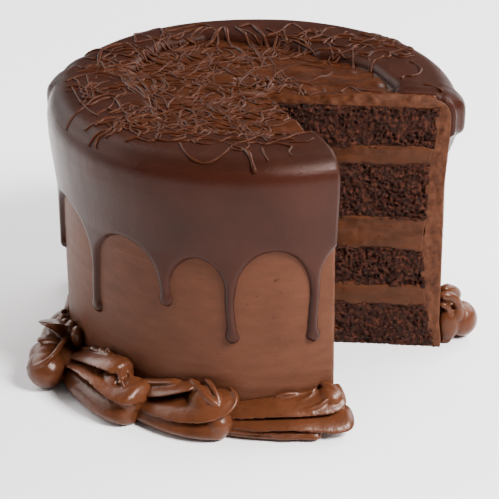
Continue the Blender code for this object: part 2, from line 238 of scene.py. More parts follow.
def add_bumps(tree, shader, *bumps):
    """Chain of Bump nodes, each (height, strength, distance in metres), on the shader."""
    normal = None
    for height, strength, distance in bumps:
        bump = node(tree, "ShaderNodeBump", Strength=strength, Distance=distance)
        tree.links.new(height, bump.inputs["Height"])
        if normal:
            tree.links.new(normal, bump.inputs["Normal"])
        normal = bump.outputs["Normal"]
    tree.links.new(normal, shader.inputs["Normal"])


sponge_finish, tree, shader = new_finish("moist_crumb", 0.34, 0.13)
crumb_shade = noise_pattern(tree, 430.0, 8.0, 0.8)
# The middle stop is the crumb's own brown. The ramp runs on the same noise as the bump, so its near-black
# low end is painted shade in the pits and its light high end is painted glints on the crumbs.
crumb_shade_and_glint_tones = (
    (0.38, (0.0025, 0.0008, 0.0006)),
    (0.51, (0.023, 0.0062, 0.0036)),
    (0.64, (0.105, 0.029, 0.0145)),
)
tree.links.new(colour_ramp(tree, crumb_shade, crumb_shade_and_glint_tones), shader.inputs["Base Color"])
grain = noise_pattern(tree, 1000.0, 4.0, 0.7)
add_bumps(tree, shader, (crumb_shade, 1.0, 0.0016), (grain, 0.8, 0.0006))

crumb_spacing = 0.00055
pit_size = 0.0023
pit_depth = 0.0022
sponge_outline = disc_outline(crumb_spacing)
for number in range(1, 5):
    low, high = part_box(f"sponge_{number}")
    rows = round((high[2] - low[2]) / crumb_spacing)
    heights = np.linspace(low[2], high[2], rows)
    points = disc_points(sponge_outline, heights, 0.0012)
    warped = points + 0.0012 * ripple(points, 0.004, 14)[..., None]
    pit = nearest_seed(warped, pit_size, 5)
    small_pit = nearest_seed(warped, 0.45 * pit_size, 9)
    relief = -pit_depth * np.clip(0.50 - pit, 0, 1) / 0.50 * (0.6 + 0.6 * ripple(points, 0.009, 15))
    relief += -0.40 * pit_depth * np.clip(0.5 - small_pit, 0, 1) / 0.5
    relief += 0.0007 * ripple(points, 0.0065, 2) + 0.0006 * ripple(points, 0.0017, 3) + 0.0004
    points += relief[..., None] * cut_normal(sponge_outline)[None]
    torn = ripple(points, 0.005, 7)[..., None] * np.array((0.0, 0.0, 0.0011))
    ends = np.zeros(rows)
    if number > 1:
        ends[:4] = (1.0, 0.7, 0.4, 0.2)
    ends[-4:] = (0.2, 0.4, 0.7, 1.0)
    points += torn * ends[:, None, None]
    layer = closed_disc(f"crumb_layer_{number}", points, sponge_finish)
    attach(layer, "root")
    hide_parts(f"sponge_{number}")


# Fillings
# Three bands of smooth chocolate cream between the sponges, spread with a palette knife.
# The cut drags the cream sideways, so its face is smooth, a little wavy and just proud.
cream_dark = (0.030, 0.0088, 0.0033)
cream_light = (0.070, 0.0225, 0.0090)


def cream_finish(name, dark, light, roughness):
    """Cream: two close browns in soft patches, with dark specks, drag lines and small air holes."""
    material, tree, shader = new_finish(name, roughness, 0.14)
    patches = noise_pattern(tree, 60.0, 5.0, 0.6, (1.0, 1.0, 2.5))
    dark_speck = tuple(0.55 * value for value in dark)
    colour = colour_ramp(tree, patches, ((0.30, dark), (0.72, light)))
    specks = noise_pattern(tree, 330.0, 2.0, 0.5)
    is_speck = node(tree, "ShaderNodeMapRange", From_Min=0.285, From_Max=0.245)
    tree.links.new(specks, is_speck.inputs["Value"])
    speckled = node(tree, "ShaderNodeMix", data_type="RGBA")
    tree.links.new(is_speck.outputs["Result"], speckled.inputs["Factor"])
    tree.links.new(colour, speckled.inputs["A"])
    [socket for socket in speckled.inputs if socket.type == "RGBA"][1].default_value = (*dark_speck, 1.0)
    colour = [socket for socket in speckled.outputs if socket.type == "RGBA"][0]
    tree.links.new(colour, shader.inputs["Base Color"])
    drag = noise_pattern(tree, 420.0, 3.0, 0.5, (0.25, 0.25, 1.6))
    holes = noise_pattern(tree, 700.0, 2.0, 0.5)
    add_bumps(tree, shader, (drag, 0.30, 0.0006), (holes, 0.22, 0.0004))
    shader.inputs["Subsurface Weight"].default_value = 0.15
    shader.inputs["Subsurface Radius"].default_value = (0.004, 0.0015, 0.0008)
    shader.inputs["Subsurface Scale"].default_value = 0.4
    return material


filling_finish = cream_finish("filling_cream", cream_dark, cream_light, 0.42)
cream_spacing = 0.0009
cream_overlap = 0.0009
filling_outline = disc_outline(cream_spacing)
for number in range(1, 4):
    low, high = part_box(f"filling_{number}")
    rows = round((high[2] - low[2]) / cream_spacing)
    heights = np.linspace(low[2] - cream_overlap, high[2] + cream_overlap, rows)
    points = disc_points(filling_outline, heights, 0.0006)
    wave = 0.00045 * ripple(points, (0.012, 0.012, 0.004), 11) + 0.0002 * ripple(points, 0.003, 12)
    proud = (0.00025 + wave)[..., None] * cut_normal(filling_outline)[None]
    ragged = 0.0011 * ripple(points[..., [0, 0, 1]], 0.007, 16)
    ragged += 0.0005 * ripple(points, 0.0021, 17)
    from_middle = (heights - heights.mean()) / (heights[-1] - heights.mean())
    points[..., 2] += ragged * np.abs(from_middle)[:, None] ** 3 * np.sign(from_middle)[:, None]
    band = closed_disc(f"cream_band_{number}", points + proud, filling_finish)
    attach(band, "root")
    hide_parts(f"filling_{number}")


# Icing coat
# Chocolate buttercream spread over the stacked layers, about 9 mm thick on the wall and 5 mm
# on top. The wall is scraped smooth on a turntable, which leaves faint level lines.
coat_top = 0.149
shoulder_start = 0.139
shoulder_inset = 0.009
shoulder_rise = 0.010
body_radius = 0.105
coat_underside = 0.1440
coat_inner_radius = 0.0115
coat_spacing = 0.0015
coat_columns = 280
coat_foot = -0.0004


def ramp(value, start, end):
    """Share of the way from start to end, held at 0 and 1 beyond them."""
    return np.clip((value - start) / (end - start), 0.0, 1.0)


def coat_radius(z):
    """Wall of the coat: 105 mm, flared by 1.2 mm at the foot and by 2.5 mm towards the top."""
    return body_radius + 0.0012 * ramp(z, 0.014, 0.004) + 0.0025 * ramp(z, 0.098, 0.132)


ring_edge = coat_radius(0.14) - shoulder_inset


def coat_profile(spacing, inner_radius, foot):
    """Outer profile as radius, height and normal: in along the top, round the shoulder on an
    ellipse, and down the wall, at even steps."""
    top_r = np.arange(inner_radius, ring_edge, spacing)
    arc = np.linspace(0, math.pi / 2, round(0.015 / spacing) + 2)
    wall_z = np.arange(shoulder_start, foot, -spacing)[1:]
    shoulder_r = ring_edge + shoulder_inset * np.sin(arc)
    shoulder_z = shoulder_start + shoulder_rise * np.cos(arc)
    radius = np.concatenate((top_r, shoulder_r, coat_radius(wall_z)))
    height = np.concatenate((np.full(len(top_r), coat_top), shoulder_z, wall_z))
    normal_r = np.concatenate((np.zeros(len(top_r)), np.sin(arc), np.ones(len(wall_z))))
    normal_z = np.concatenate((np.ones(len(top_r)), np.cos(arc), np.zeros(len(wall_z))))
    return radius, height, normal_r, normal_z


def weld(made, distance=0.000002):
    """Joins points that meet and turns every face outwards."""
    mended = bmesh.new()
    mended.from_mesh(made.data)
    bmesh.ops.remove_doubles(mended, verts=mended.verts, dist=distance)
    bmesh.ops.recalc_face_normals(mended, faces=mended.faces)
    mended.to_mesh(made.data)
    mended.free()
    made.data.shade_smooth()


def coat_relief(points):
    """Scraper lines and hand-spread waves on the coat: noise stretched round the wall."""
    bearing = np.arctan2(points[..., 0], -points[..., 1])
    level = np.stack((bearing * 0.8, np.hypot(points[..., 0], points[..., 1]), points[..., 2]), -1)
    lines = ripple(level, (0.35, 0.05, 0.0022), 21) * 0.00013
    return lines + 0.00035 * ripple(points, 0.035, 22) + 0.00005 * ripple(points, 0.003, 24)


def top_relief(points):
    """The middle of the top is left as spread: knife strokes of 0.9 mm, dents of 0.7 and 0.45 mm,
    and holes up to 2.2 mm deep near the slice's tip."""
    strokes = ripple(points, (0.020, 0.006, 0.01), 31) * 0.0009
    near_tip = np.exp(-(np.linalg.norm(points[..., :2] - (0.0, 0.006), axis=-1) / 0.016) ** 2)
    holes = -0.0022 * near_tip * ramp(nearest_seed(points, 0.0055, 34), 0.42, 0.15)
    return strokes + holes + 0.0007 * ripple(points, 0.013, 32) + 0.00045 * ripple(points, 0.0045, 33)


towards_far_cut = np.array((1.0, 0.2))


def behind_far_cut(plan):
    """Distance of a plan point from the far cut, into the cake."""
    return (plan - slice_tip) @ -far_normal[:2]


def far_edge_swell(plan):
    """Icing dragged up by the knife along the far cut: 1.8 mm, gone 5 mm into the cake, and
    only on that side of the tip."""
    beside = ramp(plan @ towards_far_cut, 0.020, 0.034)
    return 0.0018 * ramp(behind_far_cut(plan), 0.0050, 0.0015) * beside


coat_turns = np.linspace(far_turn, near_turn, coat_columns)
coat_r, coat_z, coat_nr, coat_nz = coat_profile(coat_spacing, coat_inner_radius, coat_foot)
coat_z[-1] = 0.0
plan = plan_point(coat_r[:, None], coat_turns[None, :])
outer = with_height(plan, coat_z[:, None])
way = plan / np.linalg.norm(plan, axis=-1, keepdims=True)
on_top = (coat_nz[:, None] * np.ones(len(coat_turns))) > 0.99
relief = np.where(on_top, top_relief(outer), coat_relief(outer))
relief *= (coat_z[:, None] > 0.002) * 1.0
relief += far_edge_swell(plan) * ramp(coat_r, 0.030, 0.060)[:, None] * on_top
push = with_height(way * coat_nr[:, None, None], coat_nz[:, None])
outer = outer + relief[..., None] * push
core_r = np.minimum(np.interp(coat_z, core_heights, core_radii) - 0.0002, coat_r)
up_the_wall = np.stack((coat_z, 0 * coat_z, 0 * coat_z), -1)
ragged = 0.0009 * ripple(up_the_wall, 0.006, 26)
ragged += 0.0006 * ripple(up_the_wall, 0.0023, 27)
core_r = np.where(coat_z < 0.140, core_r + ragged, core_r)
inner_z = np.minimum(coat_z, coat_underside)
inner_r = np.maximum(np.minimum(core_r, coat_r), coat_inner_radius)
inner = with_height(plan_point(inner_r[:, None], coat_turns[None, :]), inner_z[:, None])


def cut_end(outer_edge, inner_edge, normal, seed):
    """Cut face of the coat: a grid blended from its outer to its inner edge, with soft relief."""
    share = np.linspace(0, 1, 16)[None, :, None]
    face = outer_edge[:, None] * (1 - share) + inner_edge[:, None] * share
    height = 0.00045 * ripple(face, (0.003, 0.003, 0.006), seed) + 0.00025 * ripple(face, 0.0015, seed)
    inside = np.sin(np.pi * share[..., 0]) ** 0.5
    return face + (height * inside)[..., None] * normal


tip_low = np.array((*slice_tip, coat_underside))
tip_high = np.array((*slice_tip, coat_top))
tip_row = np.broadcast_to(tip_high, (1, len(coat_turns), 3))
tip_row_low = np.broadcast_to(tip_low, (1, len(coat_turns), 3))
outer = np.concatenate((tip_row, outer))
inner = np.concatenate((tip_row_low, inner))
far_end = cut_end(outer[:, 0], inner[:, 0], far_normal, 41)
near_end = cut_end(outer[:, -1], inner[:, -1], near_normal, 42)
foot = np.stack((outer[-1], inner[-1]))
patches = [outer, inner, far_end, near_end, foot]
points = np.concatenate([patch.reshape(-1, 3) for patch in patches])
faces = []
start = 0
for patch in patches:
    faces += (grid_faces(*patch.shape[:2]) + start).tolist()
    start += patch.shape[0] * patch.shape[1]


def height_blend(tree, low, high, at_low=0.0, at_high=1.0):
    """Value that goes from at_low to at_high between a low and a high level."""
    place = node(tree, "ShaderNodeTexCoord")
    split = node(tree, "ShaderNodeSeparateXYZ")
    tree.links.new(place.outputs["Object"], split.inputs["Vector"])
    blend = node(tree, "ShaderNodeMapRange", From_Min=low, From_Max=high, To_Min=at_low, To_Max=at_high)
    tree.links.new(split.outputs["Z"], blend.inputs["Value"])
    return blend.outputs["Result"]


def mixed_colour(tree, factor, first, second):
    """Colour that goes from the first to the second as the factor goes from 0 to 1."""
    both = node(tree, "ShaderNodeMix", data_type="RGBA")
    tree.links.new(factor, both.inputs["Factor"])
    tree.links.new(first, both.inputs["A"])
    tree.links.new(second, both.inputs["B"])
    return [socket for socket in both.outputs if socket.type == "RGBA"][0]


coat_finish = cream_finish("scraped_buttercream", (0.058, 0.0193, 0.0092), (0.083, 0.0284, 0.0140), 0.48)
tree, shader = coat_finish.node_tree, coat_finish.node_tree.nodes["Principled BSDF"]
wall_colour = shader.inputs["Base Color"].links[0].from_socket
top_blend = (0.1462, 0.1475)
smears = noise_pattern(tree, 95.0, 5.0, 0.6, (0.6, 1.6, 1.0))
# The top of the buttercream gets darker browns than the wall: painted shade, since it is the same cream.
shaded_top_colour = colour_ramp(tree, smears, ((0.30, (0.018, 0.0048, 0.0019)), (0.72, (0.043, 0.0120, 0.0042))))
outside_colour = mixed_colour(tree, height_blend(tree, *top_blend), wall_colour, shaded_top_colour)
tree.links.new(height_blend(tree, *top_blend, 0.48, 0.24), shader.inputs["Roughness"])
cut_tone = noise_pattern(tree, 230.0, 5.0, 0.65)
cut_tones = (
    (0.30, (0.030, 0.0085, 0.0034)),
    (0.50, (0.065, 0.0210, 0.0092)),
    (0.70, (0.102, 0.0360, 0.0170)),
)
cut_colour = colour_ramp(tree, cut_tone, cut_tones)
on_the_cut = node(tree, "ShaderNodeAttribute", attribute_name="cut_face")
coat_colour = mixed_colour(tree, on_the_cut.outputs["Fac"], outside_colour, cut_colour)
tree.links.new(coat_colour, shader.inputs["Base Color"])
coat = add_mesh("icing_coat", points, faces, coat_finish)
on_end = np.zeros(len(points))
first_end = 2 * outer[..., 0].size
on_end[first_end : first_end + 2 * far_end[..., 0].size] = 1.0
cut_face = coat.data.attributes.new("cut_face", "FLOAT", "POINT")
cut_face.data.foreach_set("value", on_end)
weld(coat)
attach(coat, "root")
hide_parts("buttercream_coat")


# Glaze
# Warm chocolate glaze poured round the rim: it sets as a thick ring with a rounded inner lip,
# a skin over the shoulder and drips down the wall, each ending in a bead.
lip_bearings = (-160, -106, -81, -52, 0, 40, 85, 107, 140, 160, 174)
lip_radii = (0.080, 0.070, 0.056, 0.065, 0.072, 0.074, 0.077, 0.069, 0.059, 0.063, 0.067)
edge_level = 0.110
drip_drop = 0.034
drip_spread = 5.0
drip_radius = 0.0027
# Each drip has its bearing in degrees and the height of its end; a short run also has its half
# width between them.
drips = (
    (-82.5, 0.062), (-52.3, 0.048), (-26.0, 0.067), (-6.8, 0.050), (16.6, 0.049),
    (101.0, 0.071), (122.0, 0.052), (147.0, 0.070), (171.0, 0.058), (196.0, 0.047),
    (219.0, 0.073), (247.0, 0.055),
)
short_runs = ((-101.0, 0.0075, 0.128), (-112.0, 0.0060, 0.131), (84.5, 0.0060, 0.126))


def bearing_of(points):
    """Bearing of points about the cake's axis, in degrees from the front towards the right."""
    return np.degrees(np.arctan2(points[..., 0], -points[..., 1]))


def degrees_between(first, second):
    """Size of the angle between two bearings, from 0 to 180 degrees."""
    return np.abs((first - second + 180) % 360 - 180)


def along_wall(bearing, place):
    """Distance round the wall from the bearing of a place, negative on its left."""
    return np.radians((bearing - place + 180) % 360 - 180) * body_radius


def glaze_edge(bearing):
    """Lower edge of the skin: arches at 110 mm, pulled down to a cusp at each drip by
    34 mm * exp(-(distance / 5 degrees)^0.85), and raised by 21 mm at the far cut."""
    height = edge_level + 0.002 * np.sin(np.radians(3 * bearing + 40))
    height = height + 0.021 * np.exp(-((degrees_between(bearing, 78.8) / 12) ** 2))
    for place, _ in drips:
        height = height - drip_drop * np.exp(-((degrees_between(bearing, place) / drip_spread) ** 0.85))
    return height


def blend_max(first, second, width):
    """Larger of two distances, with the corner between them filled over this width."""
    overlap = np.maximum(width - np.abs(first - second), 0.0) / width
    return np.maximum(first, second) + overlap**2 * width / 4


def depth_inside_wall(bearing, z):
    """How far inside the glaze's outline a point of the wall lies: above the lower edge, or
    within a drip, which is an upright capsule that swells to a bead at its end."""
    slope = (glaze_edge(bearing + 0.2) - glaze_edge(bearing - 0.2)) / (math.radians(0.4) * body_radius)
    inside = (z - glaze_edge(bearing)) / np.sqrt(1 + slope**2)
    for number, (place, end) in enumerate(drips):
        wander = 0.0006 * np.sin(z * 150 + number * 2.1)
        across = along_wall(bearing, place) - wander
        bead = np.exp(-(((z - end - 0.0034) / 0.0036) ** 2))
        wide = drip_radius * (0.94 + 0.46 * bead + 0.05 * math.sin(number * 1.7))
        below = np.minimum(z - end - wide, 0.0)
        above = np.maximum(z - 0.095, 0.0)
        capsule = wide - np.sqrt(across**2 + below**2 + above**2)
        inside = blend_max(inside, capsule, 0.0030)
    return inside


def short_lobes(bearing, z):
    """Short fat runs over the rim, as upright capsules: half width - distance to the middle line."""
    inside = np.full(np.shape(z), -1.0)
    for place, wide, end in short_runs:
        across = along_wall(bearing, place)
        below = np.minimum(z - end - wide, 0.0)
        inside = np.maximum(inside, wide - np.hypot(across, below))
    return inside


def rounded(depth, width):
    """Height of a rounded edge, 0 to 1 over the width: sqrt(1 - (1 - depth / width)^2)."""
    share = np.clip(depth / width, 0.0, 1.0)
    return np.sqrt(1 - (1 - share) ** 2)


def lip_radius(bearing):
    """Inner edge of the ring: radii blended between their bearings, with waves of 1.1 and 0.4 mm."""
    base = np.interp(bearing, lip_bearings, lip_radii, period=360)
    return base + 0.0011 * np.sin(np.radians(7 * bearing)) + 0.0004 * np.sin(np.radians(17 * bearing + 50))


def glaze_depth(radius, z, bearing):
    """Thickness of the glaze over the coat: 4.2 to 4.8 mm on the ring, 3.7 mm on the shoulder and
    2.6 mm low on the wall, rounded off at the lip and round every drip, with the short runs added.
    Outside its outline it is below the coat, by up to 0.9 mm."""
    on_top = z > shoulder_start
    ring = np.interp(radius, (0.060, 0.088, 0.1075), (0.0042, 0.0048, 0.0037))
    skin = np.interp(z, (0.05, 0.100, 0.125, 0.139), (0.0027, 0.0026, 0.0035, 0.0037))
    full = np.where(on_top, ring, skin)
    lip = radius - lip_radius(bearing)
    wall = depth_inside_wall(bearing, z)
    inside = np.where(on_top, lip, wall)
    height = full * rounded(inside, np.where(on_top, 0.0052, 0.0030))
    lobe = np.where(radius > 0.100, 0.0034 * rounded(short_lobes(bearing, z), 0.0045), 0.0)
    height = height + lobe * ramp(z, 0.1495, 0.142)
    sunk = -0.0009 * np.clip(-inside / 0.0012, 0, 1)
    return np.where(inside > 0, height, sunk)


def kept_shell(name, outer, inner, keep, material):
    """Closed sheet from two grids: the kept quads of each, and a rim round their border.
    A border edge is one that runs one way only among the kept quads."""
    rows, columns = outer.shape[:2]
    quads = grid_faces(rows, columns)[keep.reshape(-1)]
    count = rows * columns
    starts = quads.reshape(-1)
    stops = np.roll(quads, -1, axis=1).reshape(-1)
    border = ~np.isin(stops * count + starts, starts * count + stops)
    rim = np.stack((stops, starts, starts + count, stops + count), -1)[border]
    faces = np.concatenate((quads, quads[:, ::-1] + count, rim))
    points = np.concatenate((outer.reshape(-1, 3), inner.reshape(-1, 3)))
    used, faces = np.unique(faces, return_inverse=True)
    made = add_mesh(name, points[used], faces.reshape(-1, 4).tolist(), material)
    weld(made, 0.0000005)
    return made


def glaze_columns():
    """Turns of the glaze's columns: 0.55 mm apart at the drips and 1.7 mm elsewhere, from
    0.4 mm behind the one cut face to 0.4 mm behind the other."""
    fine = np.linspace(far_turn + 0.005, near_turn - 0.005, 4000)
    plan = plan_point(body_radius, fine)
    away = np.min([degrees_between(bearing_of(plan), place) for place, _ in drips], axis=0)
    step = np.interp(away, (2.0, 4.5), (0.00055, 0.0017))
    along = np.concatenate(((0.0,), np.cumsum(np.diff(fine) * body_radius / step[1:])))
    return np.interp(np.linspace(0, along[-1], round(along[-1])), along, fine)


glaze_finish, tree, shader = new_finish("set_glaze", 0.25, 0.15)
glaze_patches = noise_pattern(tree, 35.0, 4.0, 0.55)
# The ring on top gets darker browns than the skin on the wall: painted shade, since both are the same
# glaze.
skin_tones = ((0.30, (0.020, 0.0050, 0.0028)), (0.75, (0.031, 0.0080, 0.0046)))
shaded_ring_tones = ((0.30, (0.013, 0.0034, 0.0018)), (0.75, (0.024, 0.0066, 0.0034)))
skin_colour = colour_ramp(tree, glaze_patches, skin_tones)
shaded_ring_colour = colour_ramp(tree, glaze_patches, shaded_ring_tones)
shader.inputs["Subsurface Weight"].default_value = 0.08
shader.inputs["Subsurface Radius"].default_value = (0.003, 0.001, 0.0006)
shader.inputs["Subsurface Scale"].default_value = 0.3
ring_blend = (0.1462, 0.1500)
glaze_colour = mixed_colour(tree, height_blend(tree, *ring_blend), skin_colour, shaded_ring_colour)
tree.links.new(glaze_colour, shader.inputs["Base Color"])
tree.links.new(height_blend(tree, *ring_blend, 0.25, 0.40), shader.inputs["Roughness"])
tree.links.new(height_blend(tree, *ring_blend, 0.15, 0.06), shader.inputs["Specular IOR Level"])
dew = noise_pattern(tree, 950.0, 3.0, 0.7)
flow = noise_pattern(tree, 45.0, 3.0, 0.5, (1.0, 1.0, 0.45))
add_bumps(tree, shader, (flow, 0.30, 0.0018), (dew, 0.45, 0.00048))

glaze_turns = glaze_columns()
lip_rows = 0.001 * np.array((-2.4, -1.2, -0.5, 0.0, 0.08, 0.3, 0.7, 1.2, 1.8, 2.5, 3.4, 4.6, 6.0, 7.5))
ring_rows = 20
ring_outer = 0.0980
glaze_back = 0.0013
top_count = len(lip_rows) + ring_rows
arc = np.linspace(0, math.pi / 2, 14)
skin_rows = np.arange(0.1375, 0.112, -0.0016)
drip_rows = np.arange(0.1115, 0.044, -0.0009)
wall_rows = np.concatenate((skin_rows, drip_rows))
lip = np.minimum(lip_radius(bearing_of(plan_point(0.070, glaze_turns))), 0.084)
share = (np.arange(ring_rows) + 1) / (ring_rows + 1)
ring_r = (lip + lip_rows[-1]) + (ring_outer - lip - lip_rows[-1]) * share[:, None]
fixed_r = np.concatenate((ring_edge + shoulder_inset * np.sin(arc), coat_radius(wall_rows)))
glaze_r = np.concatenate((lip + lip_rows[:, None], ring_r, np.tile(fixed_r[:, None], len(lip))))
shoulder_z = shoulder_start + shoulder_rise * np.cos(arc)
glaze_z = np.concatenate((np.full(top_count, coat_top), shoulder_z, wall_rows))
glaze_nr = np.concatenate((np.zeros(top_count), np.sin(arc), np.ones(len(wall_rows))))
glaze_nz = np.concatenate((np.ones(top_count), np.cos(arc), np.zeros(len(wall_rows))))
plan = plan_point(glaze_r, glaze_turns[None, :])
level = np.broadcast_to(glaze_z[:, None], glaze_r.shape)
depth = glaze_depth(glaze_r, level, bearing_of(plan))
surface = with_height(plan, level)
depth = depth * (1 + 0.05 * ripple(surface, 0.02, 51)) + 0.0002 * ripple(surface, 0.03, 52) * (depth > 0)
left_at_cut = np.where(glaze_r < ring_edge + 0.004, 0.32, 0.62)
near_far_cut = ramp(behind_far_cut(plan), 0.0065, 0.0015) * (plan @ towards_far_cut > 0.03)
thinned = depth * (1 - (1 - left_at_cut) * near_far_cut)
swollen = thinned + far_edge_swell(plan) * near_far_cut * (glaze_nz[:, None] > 0.99)
depth = np.where(depth > 0, swollen, depth)
way = plan / np.linalg.norm(plan, axis=-1, keepdims=True)
push = with_height(way * glaze_nr[:, None, None], glaze_nz[:, None])
outer = surface + depth[..., None] * push
inner = surface - glaze_back * push
shown = depth > -0.0008
keep = shown[1:, 1:] | shown[:-1, 1:] | shown[1:, :-1] | shown[:-1, :-1]
glaze = kept_shell("glaze_skin", outer, inner, keep, glaze_finish)
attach(glaze, "root")
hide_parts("glaze")


# Drizzle
# Thin threads of glaze thrown over the top from a spoon: they cross, loop and pile up over the
# middle and the ring, and a few hang over the front shoulder.
thread_limit = 0.1105


def in_slice(plan):
    """True in the missing slice, where the turn about the slice's tip is between the two cuts."""
    way = plan - slice_tip
    turn = np.arctan2(way[..., 0], -way[..., 1])
    return (turn > near_turn - math.tau) & (turn < far_turn)


def rest_height(plan):
    """Height of what a thread lies on: coat, ring, then down over the shoulder as an ellipse."""
    radius = np.hypot(plan[..., 0], plan[..., 1])
    over = np.clip((radius - ring_edge) / (shoulder_inset + 0.004), 0.0, 0.999)
    shoulder = shoulder_start + 0.0142 * np.sqrt(1 - over**2)
    ring = glaze_depth(np.minimum(radius, ring_edge), np.full(radius.shape, coat_top), bearing_of(plan))
    bare = coat_top + top_relief(with_height(plan, coat_top))
    return np.where(over > 0, shoulder, np.where(ring > 0, np.maximum(coat_top + ring, bare), bare))


def tube(points, radii, sides):
    """Rings of a round tube: centre + radius * (cos a * side + sin a * up), the side being the
    level vector across the path, with a face over each end."""
    along = np.gradient(points, axis=0)
    along /= np.linalg.norm(along, axis=1, keepdims=True)
    side = np.stack((-along[:, 1], along[:, 0], np.zeros(len(along))), -1)
    side /= np.maximum(np.linalg.norm(side, axis=1, keepdims=True), 1e-6)
    up = np.cross(along, side)
    angle = np.arange(sides) * math.tau / sides
    ring = np.cos(angle)[None, :, None] * side[:, None] + np.sin(angle)[None, :, None] * up[:, None]
    rings = points[:, None] + ring * radii[:, None, None]
    return rings.reshape(-1, 3), capped_faces(len(points), sides)


def one_mesh(name, parts, material):
    """One mesh of many closed parts, each with its own points and faces."""
    points, faces, start = [], [], 0
    for part, made in parts:
        points.append(part)
        faces += [[k + start for k in face] for face in made]
        start += len(part)
    joined = add_mesh(name, np.concatenate(points), faces, material)
    weld(joined, 0.0000001)
    return joined


def thread_runs(plan, radius, lift):
    """Splits a plan path where it leaves the top or crosses the slice, and gives each run its
    height, resting on what lies under it, and its radii, drawn in at both ends."""
    inside = ~in_slice(plan) & (np.hypot(plan[:, 0], plan[:, 1]) < thread_limit)
    marks = np.flatnonzero(np.diff(np.concatenate(((0,), inside.astype(int), (0,)))))
    for first, last in marks.reshape(-1, 2):
        if last - first < 6:
            continue
        run = plan[first:last]
        swell = 1 + 0.25 * np.sin(np.arange(len(run)) * 0.35 + radius * 9000)
        radii = radius * swell
        radii[[0, -1]] *= 0.35
        radii[[1, -2]] *= 0.8
        height = rest_height(run) + 0.15 * radii + lift[first:last]
        kernel = np.ones(5) / 5
        smooth = np.convolve(np.pad(height, 2, mode="edge"), kernel, mode="valid")
        yield with_height(run, np.maximum(smooth, height - 0.0008)), radii


drizzle_seed = 7
draw = np.random.default_rng(drizzle_seed)


def thrown_threads(count, middle, spread, reach, headings, thin, thick, step):
    """Random threads about a middle in metres, with lengths up to the reach. Each is walked step
    by step along its heading: a start heading + a steady curl + two sines."""
    made = []
    for _ in range(count):
        length = draw.uniform(0.3, 1.0) * reach
        s = np.linspace(-0.5, 0.5, max(12, round(length / step)))
        heading = draw.normal(0.0, headings) + draw.normal(0, 2.2) * s
        heading += draw.normal(0, 0.7) * np.sin(math.tau * 1.3 * s + draw.uniform(0, 6.3))
        heading += draw.normal(0, 0.45) * np.sin(math.tau * 2.9 * s + draw.uniform(0, 6.3))
        walked = np.cumsum(np.stack((np.cos(heading), np.sin(heading)), -1), axis=0) * length / len(s)
        start = np.array(middle) + np.array(spread) * draw.uniform(-1, 1, 2)
        plan = start + walked - walked.mean(axis=0)
        radius = draw.uniform(thin, thick)
        bobbing = 1 + np.sin(s * draw.uniform(8, 30) + draw.uniform(0, 6.3))
        lift = 0.00018 * bobbing * draw.uniform(0.0, 1.0)
        made += list(thread_runs(plan, radius, lift))
    return made


def laid_threads(paths, radius):
    """Threads along points given in mm, rounded by corner cutting: each leg is replaced by the
    points at a quarter and three quarters of its length, three times over."""
    made = []
    for path in paths:
        points = 0.001 * np.array(path, float)
        for _ in range(3):
            quarter = 0.75 * points[:-1] + 0.25 * points[1:]
            later = 0.25 * points[:-1] + 0.75 * points[1:]
            inner = np.stack((quarter, later), 1).reshape(-1, 2)
            points = np.concatenate((points[:1], inner, points[-1:]))
        made += list(thread_runs(points, radius * draw.uniform(0.8, 1.2), np.zeros(len(points))))
    return made


# Each thread's points are in mm to the right of the cake's axis and behind it.
left_fan = (
    ((-97, -6), (-94, -16), (-92, -24), (-89, -32), (-85, -41), (-80, -48)),
    ((-96, -4), (-91, -6), (-87, -6), (-83, -2)),
    ((-90, 10), (-88, -3), (-85, -14), (-84, -25)),
    ((-89, -30), (-87, -21), (-86, -12), (-82, -2), (-77, 2)),
    ((-83, 21), (-78, 18), (-73, 13), (-70, 6), (-67, -4)),
    ((-72, -58), (-69, -56), (-66, -55), (-63, -56), (-59, -57)),
    ((-62, -67), (-59, -73), (-55, -77), (-49, -80), (-44, -81)),
    ((-71, 60), (-68, 55), (-65, 50), (-64, 43), (-61, 42), (-57, 40)),
)
middle_curls = (
    ((-26, 22), (-22, 26), (-17, 28), (-9, 29), (-1, 29), (4, 32), (8, 31)),
    ((-41, -6), (-37, 1), (-33, 7), (-27, 13), (-19, 13)),
    ((-14, -36), (-10, -34), (-5, -30), (-3, -29)),
    ((-26, 7), (-18, 9), (-9, 8), (-3, 1), (2, -4)),
    ((-55, -19), (-49, -27), (-42, -33), (-38, -43), (-32, -50)),
    ((-47, -15), (-41, -18), (-38, -13)),
    ((-62, 26), (-56, 20), (-52, 25), (-48, 38), (-42, 41), (-35, 39)),
    ((-33, -12), (-30, -4), (-26, 4)),
    ((26, 8), (30, 8), (35, 11), (40, 18), (44, 24)),
    ((47, -6), (50, -1), (53, 0), (56, -4), (58, -12)),
    ((14, 41), (21, 44), (28, 45)),
    ((5, 4), (9, 4), (13, 7)),
    ((15, 27), (18, 20), (21, 13)),
    ((17, 11), (20, 16), (22, 19)),
)
